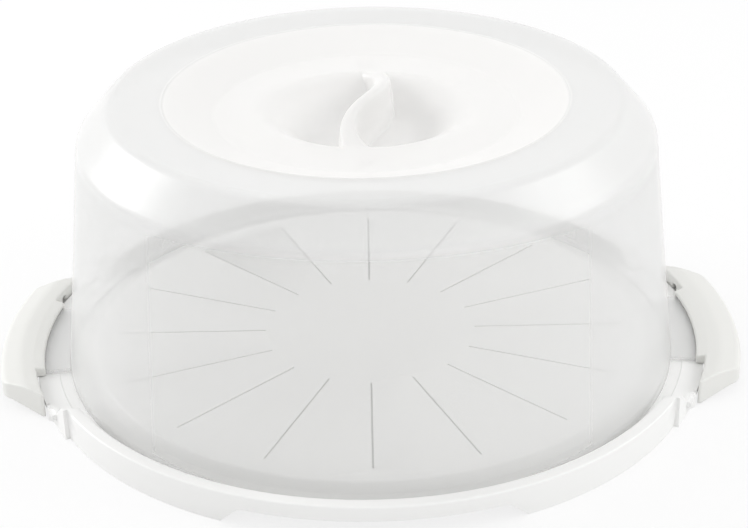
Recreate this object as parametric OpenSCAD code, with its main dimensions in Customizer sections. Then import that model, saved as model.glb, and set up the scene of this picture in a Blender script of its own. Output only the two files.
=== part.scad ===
// Round cake carrier: a slicing tray with two hinged latch handles and a domed
// lift-off cover whose sunken well holds an S-shaped finger grip.
// The tray stands on z = 0 and its centre is at the origin. The handles lie on the X axis.

/* [Cover] */
// Outer radius of the cover at its foot
cover_foot_r = 151.4; // [140:0.2:165]
// Height of the side wall, from the foot to the shoulder
cover_wall_h = 116.5; // [90:0.5:130]
// Draft of the side wall, in degrees
cover_draft = 6.2; // [3:0.1:8]
// Width that the sloping shoulder takes up
shoulder_run = 15.5; // [8:0.5:20]
// Height that the sloping shoulder climbs
shoulder_rise = 17.8; // [10:0.2:24]
// Radius that rounds the shoulder off
shoulder_round = 7; // [3:0.5:9]
// Wall thickness of the cover
cover_t = 1.8; // [1.4:0.1:2.4]

/* [Dish and well] */
// Radius of the edge where the dish begins
dish_edge_r = 97.2; // [88:0.2:104]
// Fall of the top ring from the shoulder to the edge of the dish
ring_fall = 1; // [0.4:0.1:2]
// Radius of the dish's floor
dish_floor_r = 73; // [64:0.5:80]
// Depth of the dish below its edge
dish_depth = 8.2; // [5:0.2:11]
// Rise of the dish's floor towards the well
dish_floor_rise = 0.9; // [0.4:0.1:2]
// Radius of the well's mouth
well_mouth_r = 47.1; // [43:0.2:52]
// Radius of the well's floor
well_floor_r = 28.5; // [24:0.5:33]
// Depth of the well below its mouth
well_depth = 16; // [12:0.5:20]

/* [Grip] */
// Height of the grip's crest above the well's mouth, at the middle
grip_arch = 6.5; // [3:0.5:9]
// Sideways swing of the S from the centre line
grip_swing = 8.5; // [5:0.5:10]
// Half the length of one full bend of the S
grip_bend = 56; // [50:1:64]
// Half the width of the crest at the middle
grip_half_w = 3.4; // [3:0.1:4.5]
// Extra half width where the grip runs into the well's side
grip_flare = 3.6; // [1:0.2:5]
// Draft of the grip's sides, in degrees
grip_draft = 4; // [2:0.5:6]

/* [Tray] */
// Height of the plate that the cake stands on
plate_h = 12; // [10.5:0.5:15]
// Height of the groove's floor that the cover stands on
groove_h = 7; // [6:0.2:8]
// Height of the rim
rim_h = 16; // [14:0.5:19]
// Width of the flat top of the rim
rim_w = 6.5; // [5.5:0.1:8]
// Gap between the cover's foot and the rim
rim_gap = 6.1; // [4:0.1:8]
// Gap between the cover's foot and the step up to the plate
step_gap = 8.6; // [5:0.1:11]
// Wall thickness of the tray
tray_t = 2; // [1.6:0.1:2.2]
// Height of the arched openings in the skirt, front and back
notch_h = 8.5; // [6:0.5:10]
// Angle that half of such an opening spans at the table
notch_half_a = 24.5; // [15:0.5:30]

/* [Slicing lines] */
// Number of slices marked on the plate
slices = 16; // [6:1:20]
// Radius at which the lines begin
line_start_r = 53; // [30:1:70]
// Bare margin between the lines and the plate's edge
line_margin = 13; // [6:1:25]
// Width of a line
line_w = 0.9; // [0.5:0.1:1.4]
// Depth of a line
line_d = 0.6; // [0.3:0.1:0.9]

/* [Latch handles] */
// Reach of a handle beyond the rim
ear_reach = 21.5; // [18:0.5:28]
// Half the width of a handle's outer edge
ear_half_w = 47.7; // [44:0.1:54]
// Slope of a handle's flanks, in degrees
flank_slope = 32; // [28:0.5:36]
// Height of the handle's crown
ear_h = 14.6; // [13.5:0.1:17]
// Height of the handle's lower edge above the table, at its outer side
ear_lift = 4.6; // [3.8:0.1:4.8]
// Height of the handle's lower edge at its tips, beside the skirt
tip_lift = 0.6; // [0.4:0.1:1]
// Wall thickness of the handle
ear_t = 2.2; // [1.8:0.1:2.4]
// Angle that half of the catch lip spans
lip_half_a = 12; // [8:0.5:14]
// Reach of the lip over the cover's tab
lip_hold = 0.9; // [0.5:0.1:1]
// Height of the lip's inner edge
lip_h = 11.8; // [11:0.1:12.5]
// Length of the lip, from its inner edge to the handle's inner wall
lip_reach = 4.5; // [3.5:0.1:6]

/* [Cover tabs] */
// Angle that half of a tab spans
tab_half_a = 11.5; // [7:0.5:13]
// Thickness of a tab
tab_t = 2; // [1.6:0.1:2.1]
// Reach of a tab beyond the rim's radius
tab_reach = 0.6; // [0.3:0.1:0.8]

/* [Hinges] */
// Radius of a handle's hinge pins
pin_r = 1.8; // [1.4:0.1:2]
// Running clearance round a pin
pin_gap = 0.05; // [0.03:0.01:0.1]
// Height of the hinge axis above the table
hinge_h = 6.2; // [6:0.1:7]
// Distance of the hinge axis in from the handle's outer edge
hinge_inset = 13.5; // [12:0.1:15]
// Thickness of a hinge lug
lug_t = 3.6; // [2.5:0.1:4]
// Plastic round a hinge bore
lug_wall = 1.1; // [0.9:0.1:1.3]

/* [Hidden] */
$fn = 144;
arc_steps = 6;
clear = 1;

// Clearances between the moulded pieces
ledge_gap = 0.8;
end_gap = 0.4;
lug_gap = 0.4;
lip_gap = 0.3;
tab_gap = 0.3;

// Cover: heights and radii that follow from the sizes above
shoulder_z = groove_h + cover_wall_h;
top_z = shoulder_z + shoulder_rise;
shoulder_r = cover_foot_r - cover_wall_h * tan(cover_draft);
ring_r = shoulder_r - shoulder_run;
dish_edge_z = top_z - ring_fall;
dish_floor_z = dish_edge_z - dish_depth;
well_mouth_z = dish_floor_z + dish_floor_rise;
well_floor_z = well_mouth_z - well_depth;

// Tray: radii that follow from the cover's foot
step_run = 3;
step_r = cover_foot_r - cover_t - step_gap;
rim_in_r = cover_foot_r + rim_gap;
rim_r = rim_in_r + rim_w;
skirt_draw = 0.7;
skirt_r = rim_r - skirt_draw;
notch_round = 4.5;

// Handle: radii, and the straight flank that leaves its outer corner
ear_r = rim_r + ear_reach;
ear_corner_a = asin(ear_half_w / ear_r);
ear_corner = ear_r * [cos(ear_corner_a), sin(ear_corner_a)];
flank_dir = [-cos(flank_slope), sin(flank_slope)];
flank_out = [sin(flank_slope), cos(flank_slope)];
tab_r = rim_r + tab_reach;
lip_r = tab_r - lip_hold;
ear_in_r = lip_r + lip_reach;
ledge_r = ear_in_r - ledge_gap;
corner_round = 9;
lip_slope = 1.4;
crown_inset = 10;
crown_round = 12;
edge_drop = 1.6;
edge_round = 3.4;

// The handle ends in two thin tips where its flanks near its inner wall
tip_w = 1.3;
tip = flank_at(ear_in_r + tip_w, 0);
ear_half_len = tip[1];
tip_a = atan2(tip[1], tip[0]);
foot_run = 16;

// The tray's shoulders beside the tips, and the slope up from them to the rim
ledge_h = groove_h + 0.4;
tab_h = ledge_h + tab_gap;
lip_low = tab_h + tab_t + lip_gap;
root_h = ledge_h + 0.8;
root_r = skirt_r + 2.2;
root_round = 5;
recess_half_a = tip_a + 3.9;
root_half_a = tip_a + 4.4;
rim_end_a = tip_a + 7.4;
root_end_a = tip_a + 8;
side_a = 40;
hole_r = 1.8;

// Hinge: its axis, and lugs that stand just inside the handle's flanks
hinge_x = ear_r - hinge_inset;
lug_r = pin_r + pin_gap + lug_wall;
lug_end_x = hinge_x + lug_r + lug_gap;
lug_y = flank_in_y(lug_end_x) - lug_gap - lug_t / 2;

// The unit vector along v
function unit(v) = v / norm(v);

// Points of the round that replaces corner b, between its neighbours a and c
function corner_arc(a, b, c, r) =
    let (u = unit(a - b), v = unit(c - b), half = acos(u * v) / 2)
    let (mid = b + unit(u + v) * r / sin(half))
    let (s = b + u * r / tan(half) - mid, e = b + v * r / tan(half) - mid)
    let (turn = acos(max(-1, min(1, unit(s) * unit(e)))), way = sign(s[0] * e[1] - s[1] * e[0]))
    [for (i = [0 : arc_steps])
        let (t = way * turn * i / arc_steps)
        mid + [s[0] * cos(t) - s[1] * sin(t), s[0] * sin(t) + s[1] * cos(t)]];

// An open outline of [x, y, round] corners, as points
function rounded(list) =
    [for (i = [0 : len(list) - 1])
        let (p = [list[i][0], list[i][1]], r = list[i][2])
        each (r == 0 ? [p] : corner_arc(
            [list[i - 1][0], list[i - 1][1]], p, [list[i + 1][0], list[i + 1][1]], r))];

// The same outline moved to its right by t
function side_of(a, b) = let (d = unit(b - a)) [d[1], -d[0]];
function moved(list, t) =
    [for (i = [0 : len(list) - 1])
        let (p = [list[i][0], list[i][1]], q = max(i - 1, 0), s = min(i + 1, len(list) - 1))
        let (a = [list[q][0], list[q][1]], c = [list[s][0], list[s][1]])
        let (n = i == 0 ? side_of(p, c) : side_of(a, p), m = s == i ? n : side_of(p, c))
        let (bend = (p - a)[0] * (c - p)[1] - (p - a)[1] * (c - p)[0])
        let (r = list[i][2] == 0 ? 0 : max(0.4, list[i][2] + (bend > 0 ? t : -t)))
        [(p + (n + m) * t / (1 + n * m))[0], (p + (n + m) * t / (1 + n * m))[1], r]];

function reversed(list) = [for (i = [len(list) - 1 : -1 : 0]) list[i]];

// Outer line of the cover's section, from its foot to the middle of the well
cover_line = [
    [cover_foot_r, groove_h, 0],
    [shoulder_r, shoulder_z, shoulder_round],
    [ring_r, top_z, shoulder_round],
    [dish_edge_r, dish_edge_z, 1.6],
    [dish_floor_r, dish_floor_z, 9],
    [well_mouth_r, well_mouth_z, 1.9],
    [well_floor_r, well_floor_z, 6],
    [0, well_floor_z, 0]];

module cover_section() {
    inner = [for (p = moved(cover_line, -cover_t)) [max(p[0], 0), max(p[1], groove_h), p[2]]];
    polygon(concat(rounded(cover_line), reversed(rounded(inner))));
}

// The S grip: a drafted, round-topped ridge that follows a sine curve along Y
function grip_x(y) = grip_swing * sin(180 * y / grip_bend);
function grip_top(y) = well_mouth_z + grip_arch * cos(90 * y / well_mouth_r);
function grip_w(y) = grip_half_w + grip_flare * pow(abs(y) / well_mouth_r, 4);
grip_stations = 28;
grip_ring = 8;

// One section of the ridge at y, thinned by t on every side
function grip_section(y, t) =
    let (w = grip_w(y) - t, top = grip_top(y) - t, low = well_floor_z - 2 * cover_t)
    let (round = min(w * 0.95, 3), deep = (top - round - low) * tan(grip_draft))
    concat(
        [[grip_x(y) - w - deep, y, low]],
        [for (i = [0 : grip_ring])
            let (a = 180 - 180 * i / grip_ring, side = cos(a) < 0 ? -1 : 1)
            [grip_x(y) + side * (w - round) + round * cos(a), y, top - round + round * sin(a)]],
        [[grip_x(y) + w + deep, y, low]]);

module grip_ridge(reach, t) {
    ring = grip_ring + 3;
    points = [for (k = [0 : grip_stations])
        each grip_section(-reach + 2 * reach * k / grip_stations, t)];
    sides = [for (k = [0 : grip_stations - 1], i = [0 : ring - 1])
        let (a = k * ring + i, b = k * ring + (i + 1) % ring)
        [a, a + ring, b + ring, b]];
    ends = [[for (i = [0 : ring - 1]) i], [for (i = [ring - 1 : -1 : 0]) grip_stations * ring + i]];
    polyhedron(points, concat(sides, ends), convexity = 6);
}

module tab() {
    rotate([0, 0, -tab_half_a])
        rotate_extrude(angle = 2 * tab_half_a)
            translate([cover_foot_r - cover_t / 2, tab_h])
                square([tab_r - cover_foot_r + cover_t / 2, tab_t]);
}

module cover() color([0.93, 0.93, 0.92, 0.45]) {
    difference() {
        union() {
            rotate_extrude() cover_section();
            intersection() {
                grip_ridge(well_mouth_r, 0);
                translate([0, 0, well_floor_z - cover_t])
                    cylinder(r = well_mouth_r, h = well_depth + cover_t + grip_arch);
            }
            tab();
            mirror([1, 0, 0]) tab();
        }
        grip_ridge(well_mouth_r - 2 * cover_t, cover_t);
    }
}

// Point of a handle's flank, moved in by t, at radius r from the centre
function flank_at(r, t) =
    let (b = ear_corner - flank_out * t, along = b * flank_dir)
    b + flank_dir * (-along - sqrt(along * along - b * b + r * r));

// Y of the inner face of a handle's flank at x
function flank_in_y(x) =
    ear_corner[1] + (ear_corner[0] - x) * tan(flank_slope) - ear_t / cos(flank_slope);

// Outline of a handle and of the tray's shoulders beside it, moved in by t
module ear_plan(t) {
    outer = flank_at(ear_r - t, t);
    inner = flank_at(root_r - t, t);
    outer_a = atan2(outer[1], outer[0]);
    inner_a = atan2(inner[1], inner[0]);
    before = (ear_r - t) * [cos(outer_a - 8), sin(outer_a - 8)];
    after = (root_r - t) * [cos(side_a), sin(side_a)];
    half = concat(
        [for (a = [0 : 1.5 : outer_a - 4]) (ear_r - t) * [cos(a), sin(a)]],
        corner_arc(before, outer, inner, corner_round - t),
        corner_arc(outer, inner, (root_r - t) * [cos(inner_a + 3), sin(inner_a + 3)], root_round + t),
        [for (a = [inner_a + 2 : 1.5 : side_a - 1]) (root_r - t) * [cos(a), sin(a)]],
        [after, after * 0.9]);
    polygon(concat(half, reversed([for (p = half) [p[0], -p[1]]])));
}

// Half the chord that angle a spans at radius r
function half_span(r, a) = r * sin(a);

module ring_sector(r0, r1, z0, z1, half_a) {
    rotate([0, 0, -half_a])
        rotate_extrude(angle = 2 * half_a)
            translate([r0, z0])
                square([r1 - r0, z1 - z0]);
}

module tray_section() {
    top = rounded([
        [0, plate_h, 0],
        [step_r - step_run, plate_h, 2],
        [step_r, groove_h, 1],
        [rim_in_r, groove_h, 1],
        [rim_in_r, rim_h, 0.9],
        [rim_r, rim_h, 0.9],
        [skirt_r, 0, 0]]);
    under = rounded([
        [skirt_r - tray_t, 0, 0],
        [rim_r - tray_t, rim_h - tray_t, 0.5],
        [rim_in_r + tray_t, rim_h - tray_t, 0.5],
        [rim_in_r + tray_t, groove_h - tray_t, 1],
        [step_r - tray_t, groove_h - tray_t, 1],
        [step_r - step_run - tray_t / 2, plate_h - tray_t, 2],
        [0, plate_h - tray_t, 0]]);
    polygon(concat(top, under));
}

module slicing_lines() {
    length = step_r - line_margin - line_start_r;
    for (i = [0 : slices - 1])
        rotate([0, 0, 360 * i / slices])
            translate([line_start_r, -line_w / 2, plate_h - line_d])
                cube([length, line_w, line_d + 1]);
}

// An arched opening in the skirt, with flanks at 45 degrees
module skirt_notch(turn) {
    low = half_span(skirt_r, notch_half_a);
    high = low - notch_h;
    outline = [
        [-low - clear, -clear, 0],
        [-high, notch_h, notch_round],
        [high, notch_h, notch_round],
        [low + clear, -clear, 0]];
    difference() {
        rotate([0, 0, turn])
            translate([0, -rim_in_r + low, 0])
                rotate([90, 0, 0])
                    linear_extrude(low + 2 * rim_w)
                        polygon(rounded(outline));
        translate([0, 0, -2 * clear])
            cylinder(r = rim_in_r + tray_t, h = rim_h);
    }
}

// Space above a tray's shoulder at one handle: the rim ends there on two slopes
module rim_end_cut() {
    low = half_span(rim_r, root_half_a);
    high = half_span(rim_r, rim_end_a);
    intersection() {
        rotate([90, 0, 90])
            linear_extrude(ear_r + clear)
                polygon([
                    [-low, root_h],
                    [low, root_h],
                    [high, rim_h],
                    [high, rim_h + clear],
                    [-high, rim_h + clear],
                    [-high, rim_h]]);
        ring_sector(rim_in_r - tray_t, ear_r, root_h - clear, rim_h + 2 * clear, side_a);
    }
}

// The two sides of a handle beyond distance y from its middle, as blocks
module beyond(y, z0, z1) {
    for (s = [-1, 1])
        translate([0, s * (y + ear_r) - ear_r, z0])
            cube([ear_r, 2 * ear_r, z1 - z0]);
}

// Ledge, shoulders and hinge lugs that carry one handle
module handle_seat() {
    ring_sector(rim_in_r + tray_t / 4, ledge_r, groove_h - tray_t, ledge_h, recess_half_a);
    intersection() {
        linear_extrude(rim_h) ear_plan(0);
        ring_sector(rim_in_r + tray_t / 4, ear_r, 0, rim_h, root_end_a);
        beyond(ear_half_len + end_gap, 0, rim_h);
    }
    for (s = [-1, 1])
        translate([0, s * lug_y + lug_t / 2, 0])
            rotate([90, 0, 0])
                linear_extrude(lug_t) {
                    translate([hinge_x, hinge_h]) circle(lug_r);
                    translate([rim_in_r, groove_h - tray_t])
                        square([hinge_x - rim_in_r, tray_t]);
                }
}

// What is cut away at one handle
module handle_seat_cuts() {
    rim_end_cut();
    // Recess that the cover's tab drops into
    intersection() {
        ring_sector(rim_in_r - tray_t, ledge_r + clear, ledge_h, rim_h, recess_half_a);
        linear_extrude(rim_h) ear_plan(tray_t);
    }
    // The shoulders are hollow from below
    intersection() {
        translate([0, 0, -clear])
            linear_extrude(groove_h - tray_t + clear)
                ear_plan(tray_t);
        ring_sector(rim_in_r, ear_r, -clear, groove_h - tray_t, root_end_a - 0.7);
        beyond(ear_half_len + end_gap + tray_t, -clear, groove_h);
    }
    // Hole at each end of the gap round the ledge
    for (s = [-1, 1])
        translate([sqrt(ledge_r * ledge_r - ear_half_len * ear_half_len), s * ear_half_len, 0])
            cylinder(r = hole_r, h = rim_h);
    translate([hinge_x, ear_r, hinge_h])
        rotate([90, 0, 0])
            cylinder(r = pin_r + pin_gap, h = 2 * ear_r);
}

module base_tray() color([0.94, 0.94, 0.92]) {
    difference() {
        union() {
            rotate_extrude() tray_section();
            handle_seat();
            mirror([1, 0, 0]) handle_seat();
        }
        slicing_lines();
        for (turn = [0, 180])
            skirt_notch(turn);
        handle_seat_cuts();
        mirror([1, 0, 0]) handle_seat_cuts();
    }
}

// Section of a handle, moved in by t: lip side to the left, outer edge to the right
module ear_section(t) {
    low = t > 0 ? -clear : 0;
    polygon(rounded([
        [ear_in_r + t, low, 0],
        [ear_in_r + t, lip_h + lip_slope - t, 0.8],
        [ear_r - crown_inset, ear_h - t, crown_round],
        [ear_r - t, ear_h - edge_drop - t, edge_round - t / 2],
        [ear_r - t, low, 0]]));
}

// One body of a handle, moved in by t
module ear_body(t) {
    intersection() {
        rotate([0, 0, -side_a]) rotate_extrude(angle = 2 * side_a) ear_section(t);
        translate([0, 0, -clear]) linear_extrude(ear_h + 2 * clear) ear_plan(t);
        translate([0, -ear_half_len + t, -clear])
            cube([ear_r + clear, 2 * (ear_half_len - t), ear_h + 2 * clear]);
    }
}

module latch_handle() {
    foot_x = tip[0];
    difference() {
        union() {
            difference() {
                ear_body(0);
                ear_body(ear_t);
            }
            // Catch lip that reaches over the cover's tab
            rotate([0, 0, -lip_half_a])
                rotate_extrude(angle = 2 * lip_half_a)
                    polygon(rounded([
                        [ear_in_r + ear_t / 2, lip_low, 0],
                        [lip_r, lip_low, 0.4],
                        [lip_r, lip_h, 0.9],
                        [ear_in_r + ear_t / 2, lip_h + lip_slope + 0.2, 0]]));
        }
        // The lower edge rises from the tips to the outer side
        translate([0, ear_r, 0])
            rotate([90, 0, 0])
                linear_extrude(2 * ear_r)
                    polygon([
                        [foot_x - cover_t - clear, -2 * clear],
                        [foot_x - cover_t - clear, tip_lift],
                        [foot_x, tip_lift],
                        [foot_x + foot_run, ear_lift],
                        [ear_r + clear, ear_lift],
                        [ear_r + clear, -2 * clear]]);
        // Slots in the inner wall that the tray's lugs pass through
        for (s = [-1, 1])
            translate([rim_in_r, s * lug_y - lug_t / 2 - lug_gap, -clear])
                cube([lug_end_x - rim_in_r, lug_t + 2 * lug_gap, hinge_h + lug_r + lug_gap + clear]);
    }
    // Hinge pins moulded on the inside of the flanks
    pin_y = lug_y - lug_t / 2 - lug_gap;
    for (s = [-1, 1])
        translate([hinge_x, s * pin_y, hinge_h])
            rotate([-90 * s, 0, 0])
                cylinder(r = pin_r, h = flank_in_y(hinge_x) + ear_t / 2 - pin_y);
}

module latch_handle_right() color([0.9, 0.9, 0.87]) latch_handle();
module latch_handle_left() color([0.9, 0.9, 0.87]) mirror([1, 0, 0]) latch_handle();

base_tray();
cover();
latch_handle_right();
latch_handle_left();
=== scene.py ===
import bpy
import bmesh
import math
from mathutils import Matrix, Vector


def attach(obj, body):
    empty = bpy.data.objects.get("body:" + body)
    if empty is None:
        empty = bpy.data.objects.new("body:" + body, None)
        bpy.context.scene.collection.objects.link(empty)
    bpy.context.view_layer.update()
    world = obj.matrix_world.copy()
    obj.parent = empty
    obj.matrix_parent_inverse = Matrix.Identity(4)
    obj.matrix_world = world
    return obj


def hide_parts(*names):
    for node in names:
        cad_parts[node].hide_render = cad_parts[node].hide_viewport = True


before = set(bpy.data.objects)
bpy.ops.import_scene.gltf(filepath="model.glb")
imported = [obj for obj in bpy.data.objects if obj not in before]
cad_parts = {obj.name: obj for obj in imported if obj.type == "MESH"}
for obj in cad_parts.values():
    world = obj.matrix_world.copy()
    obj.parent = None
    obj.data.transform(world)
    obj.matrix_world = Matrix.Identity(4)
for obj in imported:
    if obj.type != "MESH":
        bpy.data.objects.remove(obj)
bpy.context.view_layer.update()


# Tray: one injection moulding in natural polypropylene, milky and slightly glossy.
# It stands on its skirt and carries everything else. Its form is the CAD's.

plastic_ior = 1.49
crease_angle = math.radians(32)


def add_grain(mat, shader, place, scale, detail, strength):
    """Let the sheen vary a little across the surface."""
    nodes, links = mat.node_tree.nodes, mat.node_tree.links
    flow = nodes.new("ShaderNodeTexNoise")
    flow.inputs["Scale"].default_value = scale
    flow.inputs["Detail"].default_value = detail
    links.new(place.outputs["Object"], flow.inputs["Vector"])
    bump = nodes.new("ShaderNodeBump")
    bump.inputs["Strength"].default_value = strength
    bump.inputs["Distance"].default_value = 0.0006
    links.new(flow.outputs["Fac"], bump.inputs["Height"])
    links.new(bump.outputs["Normal"], shader.inputs["Normal"])


def plastic(name, colour, roughness, specular, grain):
    """A milky moulded plastic."""
    mat = bpy.data.materials.new(name)
    mat.use_nodes = True
    shader = mat.node_tree.nodes["Principled BSDF"]
    shader.inputs["Base Color"].default_value = (*colour, 1)
    shader.inputs["Roughness"].default_value = roughness
    shader.inputs["IOR"].default_value = plastic_ior
    shader.inputs["Specular IOR Level"].default_value = specular
    place = mat.node_tree.nodes.new("ShaderNodeTexCoord")
    add_grain(mat, shader, place, grain, 3, 0.12)
    return mat


def moulded_copy(node, name, mat):
    """A merged, smooth-shaded copy of a CAD piece."""
    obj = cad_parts[node].copy()
    obj.data = obj.data.copy()
    obj.name = obj.data.name = name
    obj.parent = None
    obj.matrix_world = Matrix.Identity(4)
    for key in list(obj.keys()):
        del obj[key]
    bpy.context.scene.collection.objects.link(obj)
    mesh = bmesh.new()
    mesh.from_mesh(obj.data)
    bmesh.ops.remove_doubles(mesh, verts=mesh.verts, dist=1e-6)
    bmesh.ops.dissolve_limit(mesh, angle_limit=math.radians(0.5), verts=mesh.verts, edges=mesh.edges)
    mesh.to_mesh(obj.data)
    mesh.free()
    obj.data.materials.clear()
    obj.data.materials.append(mat)
    obj.data.shade_smooth()
    obj.data.set_sharp_from_angle(angle=crease_angle)
    return obj


tray_plastic = plastic("tray plastic", (0.88, 0.88, 0.87), 0.34, 0.5, 18)
tray = moulded_copy("base_tray", "tray", tray_plastic)
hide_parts("base_tray")
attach(tray, "tray")


# Slicing lines: sixteen straight grooves moulded into the plate show where to cut the cake.
# The tray has the grooves themselves. A thin strip on the floor of each one gives it its darker tone: painted
# shade, for the shade inside the groove.

def placed(name, data):
    """A new object in the scene that shows this data."""
    obj = bpy.data.objects.new(name, data)
    bpy.context.scene.collection.objects.link(obj)
    return obj


def strip_tree(mat):
    """A node tree that lays flat strips in a ring, each from a start to an end radius."""
    tree = bpy.data.node_groups.new("slicing lines", "GeometryNodeTree")
    face = tree.interface
    for label, kind, value in (("Lines", "NodeSocketInt", 16), ("Start radius", "NodeSocketFloat", 0.053),
                               ("End radius", "NodeSocketFloat", 0.128), ("Width", "NodeSocketFloat", 0.0009),
                               ("Floor height", "NodeSocketFloat", 0.0115)):
        face.new_socket(name=label, in_out="INPUT", socket_type=kind).default_value = value
    face.new_socket(name="Geometry", in_out="OUTPUT", socket_type="NodeSocketGeometry")
    add, link = tree.nodes.new, tree.links.new
    given, out = add("NodeGroupInput"), add("NodeGroupOutput")

    def vector(x=None, y=None, z=None):
        node = add("ShaderNodeCombineXYZ")
        for socket, source in zip(node.inputs, (x, y, z)):
            if source is not None:
                link(source, socket)
        return node.outputs[0]

    def scaled(source, factor):
        node = add("ShaderNodeMath")
        node.operation = "MULTIPLY"
        node.inputs[1].default_value = factor
        link(source, node.inputs[0])
        return node.outputs[0]

    line = add("GeometryNodeCurvePrimitiveLine")
    link(vector(given.outputs["Start radius"], z=given.outputs["Floor height"]), line.inputs["Start"])
    link(vector(given.outputs["End radius"], z=given.outputs["Floor height"]), line.inputs["End"])
    half = scaled(given.outputs["Width"], 0.5)
    section = add("GeometryNodeCurvePrimitiveLine")
    link(vector(x=scaled(half, -1)), section.inputs["Start"])
    link(vector(x=half), section.inputs["End"])
    sweep = add("GeometryNodeCurveToMesh")
    link(line.outputs["Curve"], sweep.inputs["Curve"])
    link(section.outputs["Curve"], sweep.inputs["Profile Curve"])
    ring = add("GeometryNodeMeshLine")
    link(given.outputs["Lines"], ring.inputs["Count"])
    ring.inputs["Offset"].default_value = (0, 0, 0)
    index = add("GeometryNodeInputIndex")
    share = add("ShaderNodeMath")
    share.operation = "DIVIDE"
    link(index.outputs[0], share.inputs[0])
    link(given.outputs["Lines"], share.inputs[1])
    copies = add("GeometryNodeInstanceOnPoints")
    link(ring.outputs["Mesh"], copies.inputs["Points"])
    link(sweep.outputs["Mesh"], copies.inputs["Instance"])
    link(vector(z=scaled(share.outputs[0], 2 * math.pi)), copies.inputs["Rotation"])
    real = add("GeometryNodeRealizeInstances")
    link(copies.outputs["Instances"], real.inputs["Geometry"])
    paint = add("GeometryNodeSetMaterial")
    paint.inputs["Material"].default_value = mat
    link(real.outputs["Geometry"], paint.inputs["Geometry"])
    link(paint.outputs["Geometry"], out.inputs[0])
    return tree


def grown(name, tree, **sizes):
    """The plain mesh that a node tree makes with these sizes."""
    seed = placed(name + " seed", bpy.data.meshes.new(name + " seed"))
    mod = seed.modifiers.new("form", "NODES")
    mod.node_group = tree
    for item in tree.interface.items_tree:
        if item.in_out == "INPUT" and item.name in sizes:
            mod[item.identifier] = sizes[item.name]
    shown = seed.evaluated_get(bpy.context.evaluated_depsgraph_get())
    obj = placed(name, bpy.data.meshes.new_from_object(shown))
    bpy.data.objects.remove(seed)
    return obj


# Painted shade: the strips' dark grey stands in for the shade that falls inside the grooves.
painted_groove_shade = plastic("painted groove shade", (0.56, 0.56, 0.545), 0.5, 0.4, 30)
lines = grown("slicing_lines", strip_tree(painted_groove_shade), **{
    "Lines": 16, "Start radius": 0.0531, "End radius": 0.1279, "Width": 0.00088, "Floor height": 0.01143})
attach(lines, "tray")


# Latch handles: each side handle is a separate moulding, open from below and hinged on two pins.
# Its catch lip reaches over the cover's tab, and small walls close the lip's ends. The remesh and the
# smoothing give it a moulded part's soft edges.

def lofted(name, rings):
    """A closed mesh through rings of points, with flat ends."""
    count = len(rings[0])
    faces = []
    for j in range(len(rings) - 1):
        for i in range(count):
            this, beside = j * count + i, j * count + (i + 1) % count
            faces.append((this, beside, beside + count, this + count))
    faces += [tuple(range(count)), tuple((len(rings) - 1) * count + i for i in range(count))]
    data = bpy.data.meshes.new(name)
    data.from_pydata([p for ring in rings for p in ring], [], faces)
    mesh = bmesh.new()
    mesh.from_mesh(data)
    bmesh.ops.recalc_face_normals(mesh, faces=mesh.faces)
    mesh.to_mesh(data)
    mesh.free()
    return placed(name, data)


def joined(piece, extra):
    """Move the mesh of extra into piece."""
    mesh = bmesh.new()
    mesh.from_mesh(piece.data)
    mesh.from_mesh(extra.data)
    mesh.to_mesh(piece.data)
    mesh.free()
    bpy.data.objects.remove(extra)


handle_plastic = plastic("handle plastic", (0.775, 0.775, 0.75), 0.38, 0.5, 20)
lip_end_section = ((0.1638, 0.0077), (0.1692, 0.0077), (0.1692, 0.0128), (0.1638, 0.0117))
lip_end_angles = (math.radians(11.45), math.radians(12.02))
for side, facing in (("right", 1), ("left", -1)):
    handle = moulded_copy("latch_handle_" + side, side + "_handle", handle_plastic)
    for way in (1, -1):
        end_wall = lofted("lip end", [
            [(facing * r * math.cos(a), way * r * math.sin(a), z) for r, z in lip_end_section]
            for a in lip_end_angles])
        joined(handle, end_wall)
    grid = handle.modifiers.new("skin", "REMESH")
    grid.mode = "VOXEL"
    grid.voxel_size = 0.0005
    grid.use_smooth_shade = True
    soft = handle.modifiers.new("soften", "SMOOTH")
    soft.factor = 0.5
    soft.iterations = 4
    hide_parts("latch_handle_" + side)
    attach(handle, "latch_" + side)


# Cover: one thin moulding in clear polypropylene with a faint haze: drafted wall, sloping shoulder,
# flat ring, shallow dish, and a well bridged by the S-shaped grip. It stands in the tray's groove.

def rounded_line(corners, steps):
    """Points of an outline whose corners (x, y, radius) are rounded."""
    points = []
    for i, (x, y, r) in enumerate(corners):
        here = Vector((x, y))
        if not r:
            points.append(here)
            continue
        to_a = (Vector(corners[i - 1][:2]) - here).normalized()
        to_b = (Vector(corners[i + 1][:2]) - here).normalized()
        half = to_a.angle(to_b) / 2
        middle = here + (to_a + to_b).normalized() * r / math.sin(half)
        first = here + to_a * r / math.tan(half) - middle
        last = here + to_b * r / math.tan(half) - middle
        way = 1 if first.cross(last) > 0 else -1
        turn = first.angle(last) * way
        for k in range(steps + 1):
            a = turn * k / steps
            points.append(middle + Vector((first.x * math.cos(a) - first.y * math.sin(a),
                                           first.x * math.sin(a) + first.y * math.cos(a))))
    return points


def height_at(line, r):
    """Height of an outline, given from large to small radius, at radius r."""
    for a, b in zip(line, line[1:]):
        if b.x <= r <= a.x and a.x > b.x:
            return a.y + (b.y - a.y) * (a.x - r) / (a.x - b.x)
    return line[-1].y


mouth_r, mouth_h = 0.0471, 0.133
grip_bend, grip_swing, grip_arch = 0.056, 0.0085, 0.0065
crest_half, crest_flare, crown, draft = 0.0034, 0.0036, 0.003, math.tan(math.radians(4))


def grip_centre(y):
    """Where the S of the grip lies across the well."""
    return grip_swing * math.sin(math.pi * y / grip_bend)


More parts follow.
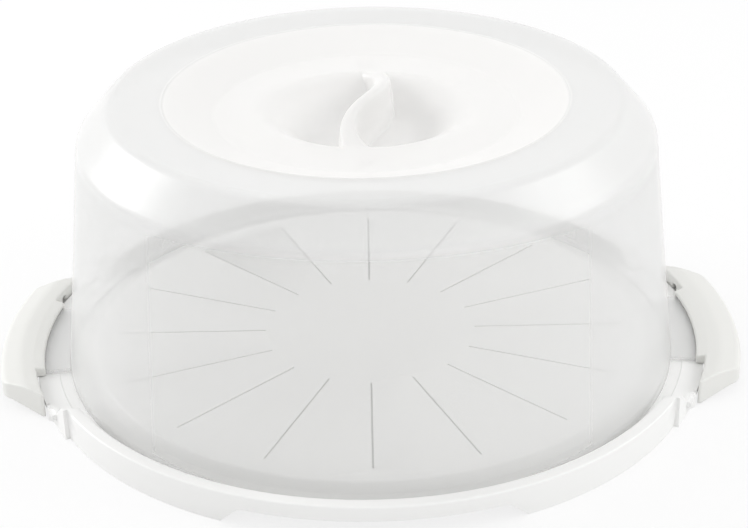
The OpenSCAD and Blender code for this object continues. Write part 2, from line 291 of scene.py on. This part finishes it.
def grip_height(x, y):
    """Height of the grip's outer face, or a height below everything beyond the well's mouth."""
    if abs(y) >= mouth_r:
        return -1
    along = abs(y) / mouth_r
    top = mouth_h + grip_arch * math.cos(math.pi / 2 * min(1, along))
    half = crest_half + crest_flare * along ** 4
    off = abs(x - grip_centre(y))
    flat = half - crown
    if off <= flat:
        return top
    if off < half:
        return top - crown + math.sqrt(max(0, crown ** 2 - (off - flat) ** 2))
    return top - crown - (off - half) / draft


def cover_shell():
    """The cover's outer face, given its wall thickness inward."""
    outline = rounded_line([
        (0.1514, 0.007, 0), (0.13874, 0.1235, 0.007), (0.12324, 0.1413, 0.007), (0.0972, 0.1403, 0.0016),
        (0.073, 0.1321, 0.009), (mouth_r, mouth_h, 0.0019), (0.0285, 0.117, 0.006), (0, 0.117, 0)], 10)
    join_r, around, ring_step = 0.058, 288, 0.006
    quarter = around // 4
    rings = []
    for a, b in zip(outline, outline[1:]):
        if b.x < join_r:
            break
        pieces = max(1, math.ceil((b - a).length / ring_step))
        rings += [a.lerp(b, k / pieces) for k in range(pieces)]
    rings.append(Vector((join_r, height_at(outline, join_r))))
    verts = [(p.x * math.cos(2 * math.pi * k / around), p.x * math.sin(2 * math.pi * k / around), p.y)
             for p in rings for k in range(around)]
    faces = [(j * around + k, j * around + (k + 1) % around,
              (j + 1) * around + (k + 1) % around, (j + 1) * around + k)
             for j in range(len(rings) - 1) for k in range(around)]
    edge = (len(rings) - 1) * around

    # The well and its grip: one row of points for each pair of points on the ring, front to back
    near = [0, 0.0008, 0.0016, 0.0022, 0.0026, 0.0029, 0.0031, 0.0033, 0.00345, 0.0036, 0.00375, 0.0039,
            0.00405, 0.0042, 0.00435, 0.0045, 0.0047, 0.0049, 0.0051, 0.0055, 0.006, 0.0067, 0.0076, 0.0088]
    outer, fade_from, fade_over, most_of_row = 12, 0.012, 0.02, 0.92
    rows = []
    for k in range(-quarter, quarter + 1):
        a = 2 * math.pi * k / around
        y = join_r * math.sin(a)
        right_i, left_i = edge + k % around, edge + (2 * quarter - k) % around
        if abs(k) == quarter:
            rows.append([right_i])
            continue
        reach = join_r * math.cos(a)
        fade = min(1, max(0, (reach - fade_from) / fade_over))
        centre = grip_centre(y) * fade
        widen = 1 + (crest_flare / crest_half) * (min(1, abs(y) / mouth_r)) ** 4 * fade
        limit = reach * most_of_row - abs(centre)
        scale = min(widen, limit / near[-1])
        inner = [-n * scale for n in reversed(near[1:])] + [n * scale for n in near]
        lo, hi = centre + inner[0], centre + inner[-1]
        left = [-reach + (lo + reach) * t / outer for t in range(1, outer)]
        right = [hi + (reach - hi) * t / outer for t in range(1, outer)]
        row = [left_i]
        for x in left + [centre + n for n in inner] + right:
            row.append(len(verts))
            verts.append((x, y, max(height_at(outline, math.hypot(x, y)), grip_height(x, y))))
        rows.append(row + [right_i])
    for low, high in zip(rows, rows[1:]):
        if len(low) == 1:
            faces += [(low[0], high[i + 1], high[i]) for i in range(len(high) - 1)]
        elif len(high) == 1:
            faces += [(low[i], low[i + 1], high[0]) for i in range(len(low) - 1)]
        else:
            faces += [(low[i], low[i + 1], high[i + 1], high[i]) for i in range(len(low) - 1)]
    data = bpy.data.meshes.new("cover")
    data.from_pydata(verts, [], faces)
    data.validate()
    obj = placed("cover_shell", data)
    mesh = bmesh.new()
    mesh.from_mesh(data)
    smooth_r, smooth_rounds = 0.0555, 6
    inside = [v for v in mesh.verts if v.index >= edge + around and math.hypot(v.co.x, v.co.y) < smooth_r]
    for k in range(smooth_rounds):
        bmesh.ops.smooth_vert(
            mesh, verts=inside, factor=0.5, use_axis_x=True, use_axis_y=True, use_axis_z=True)
    bmesh.ops.recalc_face_normals(mesh, faces=mesh.faces)
    if sum(f.normal.z for f in mesh.faces) < 0:
        bmesh.ops.reverse_faces(mesh, faces=mesh.faces)
    mesh.to_mesh(data)
    mesh.free()
    data.shade_smooth()
    wall = obj.modifiers.new("wall", "SOLIDIFY")
    wall.thickness = 0.0018
    wall.offset = -1
    wall.use_even_offset = True
    wall.use_rim = True
    return obj


def hazy_plastic():
    """See-through with a faint haze, milkier in the top, and whiter and milkier inside the dish's edge,
    painted light for the light from above that the dish catches.
    """
    mat = bpy.data.materials.new("cover plastic")
    mat.use_nodes = True
    nodes, links = mat.node_tree.nodes, mat.node_tree.links
    shader = nodes["Principled BSDF"]
    shader.inputs["Roughness"].default_value = 0.3
    shader.inputs["IOR"].default_value = plastic_ior
    shader.inputs["Specular IOR Level"].default_value = 0.9
    place = nodes.new("ShaderNodeTexCoord")

    def eased(source, low, high, at_low=0, at_high=1):
        node = nodes.new("ShaderNodeMapRange")
        node.interpolation_type = "SMOOTHSTEP"
        node.inputs["From Min"].default_value = low
        node.inputs["From Max"].default_value = high
        node.inputs["To Min"].default_value = at_low
        node.inputs["To Max"].default_value = at_high
        links.new(source, node.inputs["Value"])
        return node.outputs["Result"]

    def multiplied_and_added(source, factor, added):
        node = nodes.new("ShaderNodeMath")
        node.operation = "MULTIPLY_ADD"
        node.inputs[1].default_value = factor
        links.new(source, node.inputs[0])
        links.new(added, node.inputs[2])
        return node

    flat = nodes.new("ShaderNodeVectorMath")
    flat.operation = "MULTIPLY"
    flat.inputs[1].default_value = (1, 1, 0)
    links.new(place.outputs["Object"], flat.inputs[0])
    radius = nodes.new("ShaderNodeVectorMath")
    radius.operation = "LENGTH"
    links.new(flat.outputs["Vector"], radius.inputs[0])
    # Painted light: inside the dish's edge the colour turns whiter and the haze milkier, for the light from
    # above that falls on the dish.
    in_dish = eased(radius.outputs["Value"], 0.0985, 0.0955)
    height = nodes.new("ShaderNodeSeparateXYZ")
    links.new(place.outputs["Object"], height.inputs[0])
    base_haze = eased(height.outputs["Z"], 0.116, 0.128, 0.2, 0.36)
    tint = nodes.new("ShaderNodeMix")
    tint.data_type = "RGBA"
    # Sockets 6 and 7 of the colour mix are its two colours, and output 2 is its result
    tint.inputs[6].default_value = (0.85, 0.85, 0.845, 1)
    tint.inputs[7].default_value = (0.905, 0.898, 0.887, 1)
    links.new(in_dish, tint.inputs[0])
    links.new(tint.outputs[2], shader.inputs["Base Color"])
    # The milkier dish added here is painted light, on top of the plastic's own haze.
    haze_and_painted_dish_light = multiplied_and_added(in_dish, 0.24, base_haze)
    slant = nodes.new("ShaderNodeLayerWeight")
    slant.inputs["Blend"].default_value = 0.25
    milk_and_painted_dish_light = multiplied_and_added(slant.outputs["Facing"], 0.35, haze_and_painted_dish_light.outputs[0])
    milk_and_painted_dish_light.use_clamp = True
    links.new(milk_and_painted_dish_light.outputs[0], shader.inputs["Alpha"])
    add_grain(mat, shader, place, 9, 1, 0.1)
    return mat


cover_plastic = hazy_plastic()
cover = cover_shell()
cover.data.materials.append(cover_plastic)
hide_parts("cover")
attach(cover, "cover")


# Cover tabs: two flat tabs are moulded in one with the cover's wall, in the same clear plastic.
# They stand out at its foot and reach under the handles' lips.

def foot_tab(name, side):
    """A flat tab along the wall's foot, its edges slightly rounded."""
    low, high, inner, outer = 0.0077, 0.0097, 0.1512, 0.1646
    half, steps = math.radians(11.5), 36
    rings = []
    for k in range(steps + 1):
        a = -half + 2 * half * k / steps
        rings.append([(side * r * math.cos(a), r * math.sin(a), z)
                      for r, z in ((inner, low), (outer, low), (outer, high), (inner, high))])
    obj = lofted(name, rings)
    obj.data.materials.append(cover_plastic)
    bevel = obj.modifiers.new("edges", "BEVEL")
    bevel.width = 0.0004
    bevel.segments = 2
    bevel.limit_method = "ANGLE"
    obj.data.shade_smooth()
    obj.data.set_sharp_from_angle(angle=math.radians(40))
    return obj


for name, side in (("right_tab", 1), ("left_tab", -1)):
    tab = foot_tab(name, side)
    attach(tab, "cover")


# Floor and light: a plain white table that keeps a faint shadow, in a white studio with four soft boxes:
# a strong one at the left, weaker ones at the right and above, and a large one in front. Rays that show
# the backdrop see it pure white, while its light on the object stays at the lower level.

def showing_rays(tree):
    """An output that is 1 for camera, transmission and glossy rays, and 0 for others."""
    ray = tree.nodes.new("ShaderNodeLightPath")
    found = ray.outputs["Is Camera Ray"]
    for kind in ("Is Transmission Ray", "Is Glossy Ray"):
        either = tree.nodes.new("ShaderNodeMath")
        either.operation = "MAXIMUM"
        tree.links.new(found, either.inputs[0])
        tree.links.new(ray.outputs[kind], either.inputs[1])
        found = either.outputs[0]
    return found


def studio_floor():
    """A white table whose seen colour is mostly its own glow, so that its shadow stays faint."""
    bpy.ops.mesh.primitive_plane_add(size=6, location=(0, 0, -0.0002))
    plane = bpy.context.object
    plane.name = "floor"
    mat = bpy.data.materials.new("white table")
    mat.use_nodes = True
    nodes, links = mat.node_tree.nodes, mat.node_tree.links
    shader, out = nodes["Principled BSDF"], nodes["Material Output"]
    shader.inputs["Base Color"].default_value = (0.86, 0.86, 0.86, 1)
    shader.inputs["Roughness"].default_value = 0.9
    shader.inputs["Specular IOR Level"].default_value = 0
    glow = nodes.new("ShaderNodeEmission")
    glow.inputs["Strength"].default_value = 1
    share = nodes.new("ShaderNodeMath")
    share.operation = "MULTIPLY"
    share.inputs[1].default_value = 0.8
    links.new(showing_rays(mat.node_tree), share.inputs[0])
    mix = nodes.new("ShaderNodeMixShader")
    links.new(share.outputs[0], mix.inputs[0])
    links.new(shader.outputs[0], mix.inputs[1])
    links.new(glow.outputs[0], mix.inputs[2])
    links.new(mix.outputs[0], out.inputs["Surface"])
    plane.data.materials.append(mat)
    return plane


floor = studio_floor()

world = bpy.data.worlds.new("white studio")
bpy.context.scene.world = world
world.use_nodes = True
sky = world.node_tree
back = sky.nodes["Background"]
back.inputs["Color"].default_value = (1, 1, 1, 1)
level = sky.nodes.new("ShaderNodeMapRange")
level.inputs["To Min"].default_value = 0.76
level.inputs["To Max"].default_value = 1
sky.links.new(showing_rays(sky), level.inputs["Value"])
sky.links.new(level.outputs["Result"], back.inputs["Strength"])


def soft_box(name, place, aim, size, power):
    """An elliptical area lamp, in metres and watts, turned towards a point."""
    lamp = bpy.data.lights.new(name, "AREA")
    lamp.shape = "ELLIPSE"
    lamp.size, lamp.size_y = size
    lamp.energy = power
    obj = placed(name, lamp)
    obj.location = place
    obj.rotation_euler = (Vector(aim) - Vector(place)).to_track_quat("-Z", "Y").to_euler()


soft_box("left soft box", (-1.25, 0.45, 0.65), (0, 0, 0.1), (0.7, 0.9), 9)
soft_box("right soft box", (1.3, -0.05, 0.95), (0, 0, 0.1), (0.9, 0.9), 6)
soft_box("top soft box", (0.1, 0.3, 1.6), (0, 0, 0.1), (1.2, 1.2), 2.5)
soft_box("front soft box", (0.9, -2.4, 0.9), (0, 0, 0.05), (2, 1.5), 7.5)


# Camera: the photograph's camera, straight in front, looking down by 27 degrees and turned by one
# degree in its frame. It was solved from the round edges of the tray and the cover.

pitch, pan, roll = 0.4757, 0.0031, -0.0185
eye = Vector((0, -0.8106, 0.4663))
focal_px, frame_px, sensor_mm = 1825.587, 748, 36
ahead = Vector((math.sin(pan) * math.cos(pitch), math.cos(pan) * math.cos(pitch), -math.sin(pitch)))
across = Vector((math.cos(pan), -math.sin(pan), 0))
upward = across.cross(ahead)
right_way = across * math.cos(roll) + upward * math.sin(roll)
up_way = upward * math.cos(roll) - across * math.sin(roll)
lens = bpy.data.cameras.new("camera")
lens.sensor_width = sensor_mm
lens.lens = focal_px * sensor_mm / frame_px
camera = placed("camera", lens)
camera.matrix_world = Matrix((
    (right_way.x, up_way.x, -ahead.x, eye.x),
    (right_way.y, up_way.y, -ahead.y, eye.y),
    (right_way.z, up_way.z, -ahead.z, eye.z),
    (0, 0, 0, 1)))
bpy.context.scene.camera = camera
bpy.context.scene.view_settings.view_transform = "Standard"
